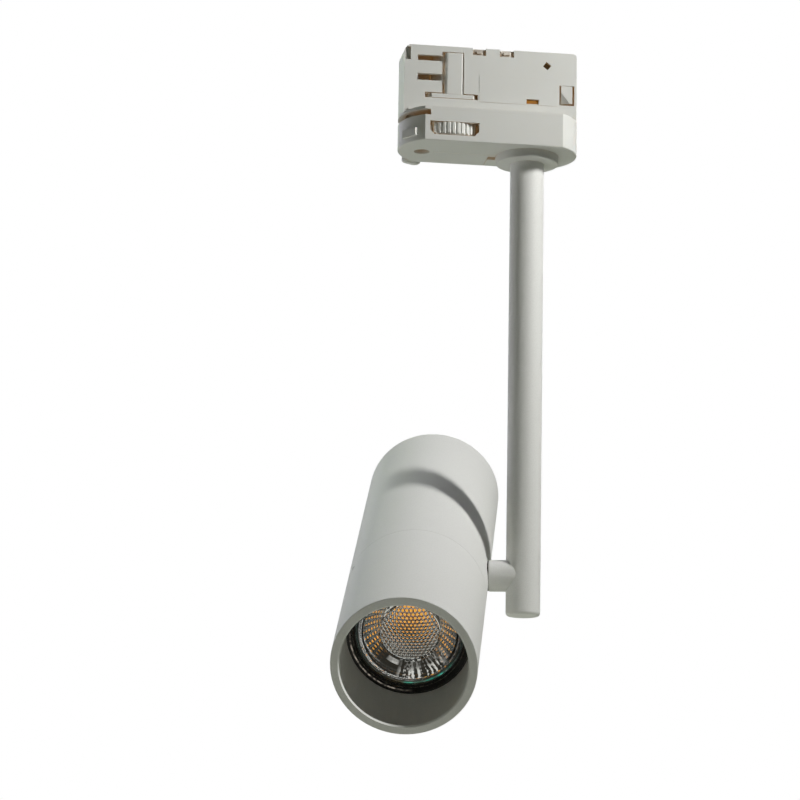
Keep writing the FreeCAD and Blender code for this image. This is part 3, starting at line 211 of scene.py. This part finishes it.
class Shader:
    """One node material around a Principled surface."""

    def __init__(self, name):
        self.material = bpy.data.materials.new(name)
        self.material.use_nodes = True
        self.tree = self.material.node_tree
        self.tree.nodes.clear()
        self.output = self.tree.nodes.new("ShaderNodeOutputMaterial")
        self.surface = self.tree.nodes.new("ShaderNodeBsdfPrincipled")
        self.tree.links.new(self.surface.outputs["BSDF"], self.output.inputs["Surface"])
        self.place = self.tree.nodes.new("ShaderNodeTexCoord").outputs["Object"]

    def node(self, kind, **settings):
        made = self.tree.nodes.new(kind)
        for name, value in settings.items():
            setattr(made, name, value)
        return made

    def link(self, source, target):
        self.tree.links.new(source, target)

    def set(self, name, value):
        """Gives the surface a fixed value or another node's output."""
        self.feed(self.surface.inputs[name], value)

    def feed(self, socket, value):
        if isinstance(value, bpy.types.NodeSocket):
            self.link(value, socket)
        else:
            socket.default_value = value

    def noise(self, scale, detail=2.0, roughness=0.5, at=None):
        made = self.node("ShaderNodeTexNoise")
        made.inputs["Scale"].default_value = scale
        made.inputs["Detail"].default_value = detail
        made.inputs["Roughness"].default_value = roughness
        self.link(self.place if at is None else at, made.inputs["Vector"])
        return made.outputs["Fac"]

    def cells(self, scale):
        made = self.node("ShaderNodeTexVoronoi")
        made.inputs["Scale"].default_value = scale
        self.link(self.place, made.inputs["Vector"])
        return made.outputs["Distance"]

    def maths(self, operation, first, second=0.0, third=None):
        made = self.node("ShaderNodeMath", operation=operation)
        self.feed(made.inputs[0], first)
        self.feed(made.inputs[1], second)
        if third is not None:
            self.feed(made.inputs[2], third)
        return made.outputs[0]

    def product(self, first, *others):
        for other in others:
            first = self.maths("MULTIPLY", first, other)
        return first

    def vector(self, operation, first, second=None):
        """Vector node of the given operation."""
        made = self.node("ShaderNodeVectorMath", operation=operation)
        self.feed(made.inputs[0], first)
        if second is not None:
            self.feed(made.inputs[1], second)
        return made

    def band(self, distance, middle_mm, half_mm):
        """1 within half_mm of the middle distance, 0 elsewhere."""
        return self.maths("COMPARE", distance, middle_mm * MM, half_mm * MM)

    def span(self, value, low, high, to_low, to_high):
        """Maps low..high to to_low..to_high and holds the ends."""
        made = self.node("ShaderNodeMapRange")
        self.feed(made.inputs["Value"], value)
        for name, number in (("From Min", low), ("From Max", high), ("To Min", to_low), ("To Max", to_high)):
            self.feed(made.inputs[name], number)
        return made.outputs["Result"]

    def mix(self, share, first, second):
        made = self.node("ShaderNodeMix", data_type="RGBA")
        self.feed(made.inputs["Factor"], share)
        self.feed(made.inputs[6], first)
        self.feed(made.inputs[7], second)
        return made.outputs[2]

    def off_axis(self):
        """Distance from the head's axis and share of it that points away from the key light."""
        apart = self.vector("SUBTRACT", self.place, HEAD.translation).outputs["Vector"]
        cross = self.vector("CROSS_PRODUCT", apart, HEAD.col[2].to_3d()).outputs["Vector"]
        radius = self.vector("LENGTH", cross).outputs["Value"]
        away = self.vector("DOT_PRODUCT", apart, -KEY).outputs["Value"]
        return radius, self.maths("DIVIDE", away, radius)

    def glow(self, colour, strength):
        """Light that the surface gives off on top of what it reflects."""
        self.set("Emission Color", colour)
        self.set("Emission Strength", strength)

    def glint(self, radius_mm, strength, colour):
        """Painted highlight: a bright arc of emission on a narrow ring about the head's axis, where the key light
        strikes its far side.
        """
        half_width_mm = 0.3
        radius, away = self.off_axis()
        ring = self.band(radius, radius_mm, half_width_mm)
        arc = self.product(ring, self.span(away, 0.62, 0.90, 0.0, 1.0))
        self.glow(colour, self.product(arc, strength))

    def bump(self, height, depth_mm, strength=1.0):
        """Bump of a given depth in millimetres."""
        made = self.node("ShaderNodeBump")
        made.inputs["Strength"].default_value = strength
        made.inputs["Distance"].default_value = depth_mm * MM
        self.link(height, made.inputs["Height"])
        self.set("Normal", made.outputs["Normal"])

    def recess(self, reach_mm):
        """1 deep inside slots and holes, 0 on open faces."""
        hidden = self.node("ShaderNodeAmbientOcclusion", samples=6)
        hidden.inputs["Distance"].default_value = reach_mm * MM
        return self.span(hidden.outputs["AO"], 0.15, 0.42, 1.0, 0.0)

    def painted_amber_glow(self, share):
        """Painted amber glow on what lies inside the adapter, standing for the light its thin walls let through.
        """
        self.glow((0.40, 0.20, 0.05, 1.0), share)

    def edges(self, reach_mm):
        """1 on convex edges within reach, 0 on flat faces."""
        bevel = self.node("ShaderNodeBevel", samples=4)
        bevel.inputs["Radius"].default_value = reach_mm * MM
        flat = self.node("ShaderNodeNewGeometry").outputs["Normal"]
        level = self.vector("DOT_PRODUCT", bevel.outputs["Normal"], flat).outputs["Value"]
        return self.span(level, 0.98, 0.85, 0.0, 1.0)


# ---------------------------------------------------------------- materials

def powder_coat():
    """Off-white powder coat: sand texture, uneven gloss, paler edges, a painted highlight arc on the bore's lip.
    """
    shader = Shader("powder_coat")
    drift = shader.noise(18.0, 3.0)
    tone = shader.mix(drift, (0.80, 0.80, 0.775, 1.0), (0.84, 0.84, 0.82, 1.0))
    grain = shader.noise(1900.0, 3.0, 0.65)
    dusted = shader.mix(shader.span(grain, 0.35, 0.65, 0.0, 0.3), tone, (0.66, 0.66, 0.63, 1.0))
    worn = shader.product(shader.edges(0.25), shader.span(shader.noise(150.0), 0.45, 0.6, 0.0, 0.5))
    shader.set("Base Color", shader.mix(worn, dusted, (0.88, 0.88, 0.86, 1.0)))
    shader.set("Roughness", shader.span(shader.noise(900.0), 0.3, 0.7, 0.5, 0.68))
    shader.set("Specular IOR Level", 0.4)
    # Painted highlight: an arc of emission on the bore's lip chamfer, on the side across from the key light.
    lip = about_head("front_tube")[0] + 0.35
    shader.glint(lip, 0.55, (0.92, 0.92, 0.88, 1.0))
    shader.bump(grain, 0.07, 0.9)
    return shader.material


def adapter_plastic():
    """Off-white moulded plastic: fine spark texture, painted warm shade and amber glow where light has to come
    through it.
    """
    shader = Shader("adapter_plastic")
    drift = shader.noise(40.0, 2.0)
    tone = shader.mix(drift, (0.70, 0.70, 0.665, 1.0), (0.75, 0.75, 0.72, 1.0))
    # Convex edges tinted brown.
    brown_edges = shader.product(shader.edges(0.2), 0.35)
    edged = shader.mix(brown_edges, tone, (0.66, 0.60, 0.50, 1.0))
    # Painted shade: brown colour and a faint amber glow inside slots and holes, found by ambient occlusion.
    deep = shader.recess(10.0)
    shader.set("Base Color", shader.mix(deep, edged, (0.42, 0.30, 0.18, 1.0)))
    shader.painted_amber_glow(shader.product(deep, 0.17))
    grain = shader.noise(5200.0, 2.0, 0.6)
    shader.set("Roughness", shader.span(grain, 0.3, 0.7, 0.42, 0.55))
    shader.set("Subsurface Weight", 0.08)
    shader.set("Subsurface Radius", (1.2, 1.0, 0.8))
    shader.set("Subsurface Scale", 0.6 * MM)
    shader.bump(grain, 0.012, 0.7)
    return shader.material


def metal(name, colour, dull, roughness, inside_glow=0.0):
    """Bare or plated metal with a fine grain and duller patches, and a painted amber glow where given."""
    shader = Shader(name)
    patches = shader.noise(220.0, 3.0, 0.6)
    shader.set("Base Color", shader.mix(shader.span(patches, 0.4, 0.7, 0.0, 1.0), colour, dull))
    shader.set("Metallic", 1.0)
    grain = shader.noise(1400.0, 2.0)
    shader.set("Roughness", shader.span(grain, 0.3, 0.7, roughness, roughness + 0.12))
    # Painted glow: faint amber light on contacts inside the adapter.
    shader.painted_amber_glow(inside_glow)
    shader.bump(grain, 0.002, 0.5)
    return shader.material


def black_plastic():
    """Satin black heat-proof plastic: brown scuffing and a painted sheen on its edges, a painted highlight arc on
    the lamp's ring.
    """
    shader = Shader("black_plastic")
    grain = shader.noise(1800.0, 2.0)
    tone = shader.mix(grain, (0.010, 0.010, 0.009, 1.0), (0.020, 0.019, 0.017, 1.0))
    patches = shader.span(shader.noise(700.0, 3.0), 0.4, 0.6, 0.1, 1.0)
    # Pale brown edges: scuffing and a painted sheen.
    scuffs_and_sheen = shader.product(shader.edges(0.5), patches)
    shader.set("Base Color", shader.mix(scuffs_and_sheen, tone, (0.55, 0.48, 0.40, 1.0)))
    # Painted highlight: a speckled arc of emission on the lamp ring, across from the key light.
    ring_highlight_mm = about_head("lamp_ring")[0] + 2.2
    shader.glint(ring_highlight_mm, shader.product(patches, 0.5), (0.62, 0.55, 0.46, 1.0))
    shader.set("Roughness", shader.span(grain, 0.3, 0.7, 0.25, 0.4))
    shader.bump(grain, 0.01, 0.5)
    return shader.material


def shaded_block():
    """Dark moulded block inside the housing, with a painted amber glow for the light its walls let through."""
    shader = Shader("shaded_block")
    grain = shader.noise(1800.0, 2.0)
    shader.set("Base Color", shader.mix(grain, (0.012, 0.010, 0.008, 1.0), (0.024, 0.020, 0.014, 1.0)))
    shader.set("Roughness", shader.span(grain, 0.3, 0.7, 0.35, 0.5))
    # Painted glow: faint amber light.
    shader.painted_amber_glow(0.09)
    shader.bump(grain, 0.01, 0.5)
    return shader.material


def ceramic():
    """Unglazed ceramic: cream, matt and slightly speckled."""
    shader = Shader("ceramic")
    specks = shader.cells(900.0)
    shader.set("Base Color", shader.mix(shader.span(specks, 0.0, 0.25, 1.0, 0.0),
                                        (0.84, 0.81, 0.73, 1.0), (0.62, 0.58, 0.50, 1.0)))
    shader.set("Roughness", 0.7)
    shader.bump(shader.noise(1500.0, 3.0), 0.03, 0.7)
    return shader.material


def lamp_shell():
    """Dark lamp shell with a soft sheen."""
    shader = Shader("lamp_shell")
    grain = shader.noise(1600.0, 2.0)
    shader.set("Base Color", shader.mix(grain, (0.02, 0.02, 0.02, 1.0), (0.035, 0.034, 0.032, 1.0)))
    shader.set("Roughness", 0.3)
    shader.bump(grain, 0.01, 0.4)
    return shader.material


class OpticShader(Shader):
    """Shader of the lamp's optic, with masks by radius and by side about its axis."""

    def __init__(self, name):
        super().__init__(name)
        self.flat = self.vector("MULTIPLY", self.place, (1.0, 1.0, 0.0)).outputs["Vector"]
        self.radius = self.vector("LENGTH", self.flat).outputs["Value"]

    def towards(self, x, y, low, high):
        """1 on the side of the optic that faces (x, y), 0 on the other."""
        reach = self.vector("DOT_PRODUCT", self.flat, (x, y, 0.0)).outputs["Value"]
        return self.span(self.maths("DIVIDE", reach, self.radius), low, high, 0.0, 1.0)

    def blend(self, share, first, second):
        """Surface that goes from the first shader to the second."""
        made = self.node("ShaderNodeMixShader")
        self.feed(made.inputs["Fac"], share)
        self.link(first, made.inputs[1])
        self.link(second, made.inputs[2])
        return made.outputs["Shader"]

    def light(self, colour, strength=1.0):
        """Surface that only gives off light, for painted reflections and highlights."""
        made = self.node("ShaderNodeEmission")
        self.feed(made.inputs["Color"], colour)
        made.inputs["Strength"].default_value = strength
        return made.outputs["Emission"]


def cut_edge(shader):
    """Sea green at the rim's cut edge, with painted sea-green glints in spots round its lower side."""
    edge = shader.span(shader.radius, 21.5 * MM, 22.2 * MM, 0.0, 1.0)
    shader.set("Base Color", shader.mix(edge, (0.97, 0.985, 0.975, 1.0), (0.45, 0.78, 0.72, 1.0)))
    # Painted glints: spots of sea-green emission along the lower side of the cut edge.
    glint_band = shader.product(shader.band(shader.radius, 22.1, 0.35), shader.towards(0.33, -0.94, 0.84, 0.97))
    spots = shader.span(shader.noise(260.0), 0.48, 0.62, 0.1, 0.9)
    shader.glow((0.01, 0.42, 0.30, 1.0), shader.product(glint_band, spots))


def frost_glow_share(shader):
    """Share of painted highlight on the rim's two ridges, speckled like frost, on the side away from the key."""
    inner_ridge = shader.band(shader.radius, 20.25, 0.22)
    outer_ridge = shader.band(shader.radius, 21.05, 0.14)
    speckle = shader.span(shader.noise(2600.0, 2.0, 0.7), 0.47, 0.56, 0.0, 0.9)
    return shader.product(shader.maths("MAXIMUM", inner_ridge, outer_ridge), speckle,
                          shader.towards(-0.85, -0.53, 0.25, 0.8))


def mirrored_bars(shader):
    """Share of a painted reflection: pale bars with ragged edges, as the lower side of the ring would reflect
    them.
    """
    around = shader.vector("NORMALIZE", shader.flat).outputs["Vector"]
    ragged = shader.span(shader.noise(800.0), 0.3, 0.7, -0.09, 0.09)
    bars = shader.maths("ADD", shader.noise(13.0, 1.0, at=around), ragged)
    return shader.product(shader.span(bars, 0.48, 0.56, 0.0, 1.0),
                          shader.towards(0.30, -0.95, 0.80, 0.90),
                          shader.span(shader.radius, 15.5 * MM, 17.5 * MM, 0.25, 1.0))


def mirrored_window(shader):
    """Share of a painted reflection: a pale patch beside the well, as the ring would reflect a window."""
    return shader.product(shader.band(shader.radius, 14.4, 1.1),
                          shader.towards(-0.50, -0.866, 0.980, 0.992),
                          shader.span(shader.noise(500.0), 0.4, 0.6, 0.35, 0.75))


def optic():
    """Clear moulded optic with painted highlights of frost on the rim's ridges and a painted reflection of the
    studio low on its ring.

    Shadow rays pass straight through it.
    """
    shader = OpticShader("optic")
    cut_edge(shader)
    shader.set("Transmission Weight", 1.0)
    shader.set("IOR", 1.5)
    shader.set("Roughness", shader.span(shader.noise(600.0), 0.3, 0.7, 0.0, 0.02))
    # Painted reflection: dark emission with pale bars and a pale patch, in place of the glass low on the ring.
    pale = shader.maths("MAXIMUM", mirrored_bars(shader), mirrored_window(shader))
    painted_reflection = shader.light(shader.mix(pale, (0.022, 0.021, 0.017, 1.0), (0.62, 0.62, 0.58, 1.0)))
    reflection_zone = shader.product(shader.band(shader.radius, 16.75, 3.5),
                              shader.towards(-0.05, -1.0, 0.50, 0.78), 0.92)
    faced = shader.blend(reflection_zone, shader.surface.outputs["BSDF"], painted_reflection)
    # Painted highlight of speckled frost: pale emission on the rim's ridges.
    frost_glowing = shader.blend(frost_glow_share(shader), faced, shader.light((0.78, 0.80, 0.77, 1.0), 0.85))
    shadow_ray = shader.node("ShaderNodeLightPath").outputs["Is Shadow Ray"]
    clear = shader.node("ShaderNodeBsdfTransparent").outputs["BSDF"]
    shader.link(shader.blend(shadow_ray, frost_glowing, clear), shader.output.inputs["Surface"])
    return shader.material


def light_source():
    """Yellow phosphor disc in the middle of a board with dark and bare tinned lands, all given a painted glow."""
    shader = Shader("light_source")
    grain = shader.noise(2400.0, 2.0)
    phosphor = shader.mix(grain, (0.95, 0.36, 0.03, 1.0), (1.0, 0.46, 0.05, 1.0))
    disc = shader.span(shader.off_axis()[0], 6.3 * MM, 6.5 * MM, 1.0, 0.0)
    lands = shader.span(shader.noise(420.0, 1.0), 0.50, 0.56, 0.0, 1.0)
    board = shader.mix(lands, (0.02, 0.02, 0.017, 1.0), (0.50, 0.50, 0.47, 1.0))
    tone = shader.mix(disc, board, phosphor)
    shader.set("Base Color", tone)
    # Painted glow: disc and board give off light in their own colours.
    shader.glow(tone, 0.95)
    shader.set("Roughness", 0.5)
    shader.bump(grain, 0.03, 0.5)
    return shader.material


def rubber(name, colour, shade):
    """Cable sheath or sleeve: matt, with a fine grain."""
    shader = Shader(name)
    grain = shader.noise(1200.0, 3.0)
    shader.set("Base Color", shader.mix(grain, shade, colour))
    shader.set("Roughness", 0.6)
    shader.bump(grain, 0.02, 0.6)
    return shader.material


def paint_frame():
    """Gives every CAD node its finish, by the record's material slot names."""
    finishes = {
        "adapter_plastic": adapter_plastic(),
        "powder_coat": powder_coat(),
        "copper": metal("copper", (0.46, 0.20, 0.04, 1.0), (0.30, 0.13, 0.03, 1.0), 0.5, 0.12),
        "nickel": metal("nickel", (0.78, 0.75, 0.69, 1.0), (0.55, 0.52, 0.47, 1.0), 0.45, 0.1),
        "zinc_steel": metal("zinc_steel", (0.62, 0.63, 0.64, 1.0), (0.45, 0.47, 0.50, 1.0), 0.3),
        "black_plastic": black_plastic(),
        "ceramic": ceramic(),
        "lamp_shell": lamp_shell(),
        "optic": optic(),
        "light_source": light_source(),
        "cable_sheath": rubber("cable_sheath", (0.80, 0.80, 0.77, 1.0), (0.70, 0.70, 0.67, 1.0)),
        "lead_sleeve": rubber("lead_sleeve", (0.75, 0.74, 0.70, 1.0), (0.60, 0.58, 0.54, 1.0)),
    }
    slots = {part["node"]: part["material_slot"] for part in frame["record"]["subparts"]}
    for name, node in nodes.items():
        node.data.materials.clear()
        node.data.materials.append(finishes[slots[name]])
    nodes["contact_block"].data.materials[0] = shaded_block()
    return finishes


# ---------------------------------------------------------------- lamp optic

def lathe(name, rings, steps):
    """Closed mesh from rings; each ring gives (radius, height) in millimetres at an angle."""
    mesh = bpy.data.meshes.new(name)
    net = bmesh.new()
    rows = []
    for ring in rings:
        row = []
        for step in range(steps):
            angle = 2.0 * math.pi * step / steps
            radius, height = ring(angle)
            row.append(net.verts.new((radius * math.cos(angle) * MM, radius * math.sin(angle) * MM,
                                      height * MM)))
        rows.append(row)
    for first, second in zip(rows, rows[1:]):
        for i in range(steps):
            j = (i + 1) % steps
            net.faces.new((first[i], first[j], second[j], second[i]))
    for row in (rows[0], rows[-1]):
        middle = net.verts.new(sum((v.co for v in row), Vector()) / steps)
        for i in range(steps):
            net.faces.new((row[i], row[(i + 1) % steps], middle))
    bmesh.ops.recalc_face_normals(net, faces=net.faces)
    net.to_mesh(mesh)
    net.free()
    mesh.shade_smooth()
    mesh.set_sharp_from_angle(angle=math.radians(28.0))
    made = bpy.data.objects.new(name, mesh)
    bpy.context.scene.collection.objects.link(made)
    made.matrix_world = HEAD
    return made


def lenslet(x, y, pitch, curve):
    """Height of a honeycomb of round caps above their lowest points."""
    row_gap = pitch * math.sqrt(3.0) / 2.0
    nearest = pitch
    row = round(y / row_gap)
    for near_row in (row - 1, row, row + 1):
        shift = pitch / 2.0 if near_row % 2 else 0.0
        column = round((x - shift) / pitch)
        nearest = min(nearest, math.hypot(x - shift - column * pitch, y - near_row * row_gap))
    return math.sqrt(curve ** 2 - nearest ** 2) - math.sqrt(curve ** 2 - pitch ** 2 / 3.0)


def dome_rings(top, radius, edge):
    """Domed centre under a honeycomb of small lenses."""
    count = 84
    pitch, curve = 1.6, 0.98
    for i in range(1, count + 1):
        reach = radius * i / count
        crown = top - (top - edge) * (reach / radius) ** 2.4

        def ring(angle, reach=reach, crown=crown):
            cap = lenslet(reach * math.cos(angle), reach * math.sin(angle), pitch, curve)
            return reach, crown + cap

        yield ring


def plain_rings(*profile):
    """Round rings at the given (radius, height) points."""
    return [lambda angle, point=point: point for point in profile]


def facet_rings(start, focus, end, sectors, bands):
    """Parabolic side that gathers light from the focus, covered with pillow facets."""
    fine = 10
    pillow = 0.22
    total = bands * fine
    rise = start[1] - focus
    focal = (math.hypot(rise, start[0]) - rise) / 2.0
    for i in range(total + 1):
        share = i / total
        radius = start[0] + (end - start[0]) * share
        height = focus - focal + radius ** 2 / (4.0 * focal)
        slope = math.atan2(2.0 * focal, radius)
        across = 2.0 * (share * bands % 1.0) - 1.0

        def ring(angle, radius=radius, height=height, slope=slope, across=across):
            along = 2.0 * (angle / (2.0 * math.pi) * sectors % 1.0) - 1.0
            swell = pillow * (1.0 - (along ** 2 + across ** 2) / 2.0) - pillow
            return radius + swell * math.cos(slope), height - swell * math.sin(slope)

        yield ring


def lamp_optic(finish):
    """The lamp's clear front: rim, sunk ring, well with a honeycomb dome, faceted sides behind."""
    rim, front = about_head("lamp_lens")[1:]
    well_floor = front - 2.2
    ring_face = front - 1.2
    focus = front - 21.6
    sectors, bands = 42, 9
    dome = dome_rings(front + 0.2, 11.9, well_floor)
    well_lip = plain_rings((12.1, well_floor), (12.3, front - 0.8), (12.6, front - 0.55),
                           (13.0, front - 0.6))
    sunk_ring = plain_rings((13.2, ring_face), (19.4, ring_face))
    ridges = plain_rings((19.9, front - 0.3), (20.3, front), (20.9, front - 0.25), (21.5, front),
                         (22.2, front - 0.1))
    flange = plain_rings((rim, front - 0.4), (rim, front - 7.0))
    facets = facet_rings((21.4, front - 7.6), focus, 11.6, sectors, bands)
    pocket = plain_rings((6.8, front - 21.4), (6.4, front - 13.4), (5.4, front - 12.6), (2.8, front - 12.1))
    rings = [*dome, *well_lip, *sunk_ring, *ridges, *flange, *facets, *pocket]
    piece = lathe("lamp_optic", rings, sectors * 12)
    piece.data.materials.append(finish)
    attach(piece, "lamp")
    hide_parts("lamp_lens")


bpy.context.scene.view_settings.view_transform = "Standard"
make_world()
make_camera()
make_lights()
make_floor()
finishes = paint_frame()
lamp_optic(finishes["optic"])
